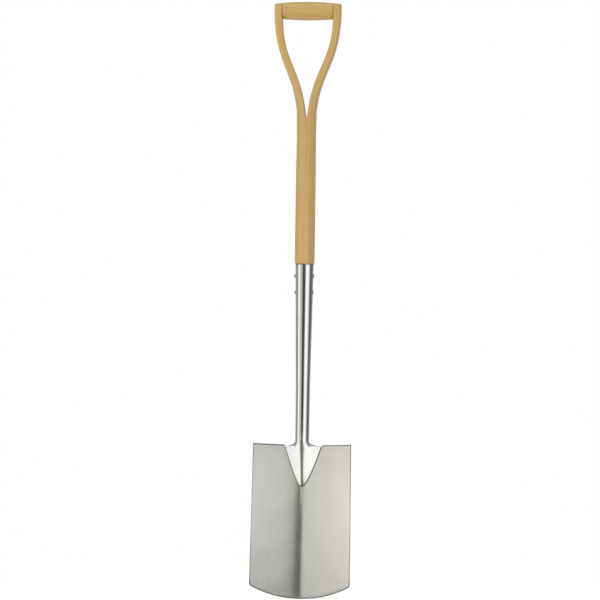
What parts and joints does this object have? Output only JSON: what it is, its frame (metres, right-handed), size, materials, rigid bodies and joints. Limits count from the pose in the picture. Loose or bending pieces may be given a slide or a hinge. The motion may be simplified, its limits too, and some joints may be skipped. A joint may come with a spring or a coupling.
{
  "type": "digging spade",
  "caption": "Digging spade with a pressed steel blade, a tubular steel socket and an ash shaft that splits into a Y around a turned cross grip.",
  "frame": {"origin": "middle of the part's box, at the height of the lowest point of the cutting edge", "axes": "+Z along the shaft from the edge to the grip, -Y out of the blade's digging face, +X across the blade, to the right when the digging face is seen"},
  "size_m": [0.19, 0.0486, 1.1266],
  "materials": {
    "blade_steel": "lengthways satin brush",
    "socket_steel": "mirror polish",
    "weld_steel": "dressed weld",
    "rivet_steel": "set rivet, satin",
    "ash": "lacquered satin"
  },
  "bodies": {
    "root": {"blade": "blade_steel", "socket": "socket_steel", "weld_left": "weld_steel", "weld_right": "weld_steel", "shaft": "ash", "grip": "ash", "rivet_upper": "rivet_steel", "rivet_lower": "rivet_steel"}
  },
  "joints": []
}
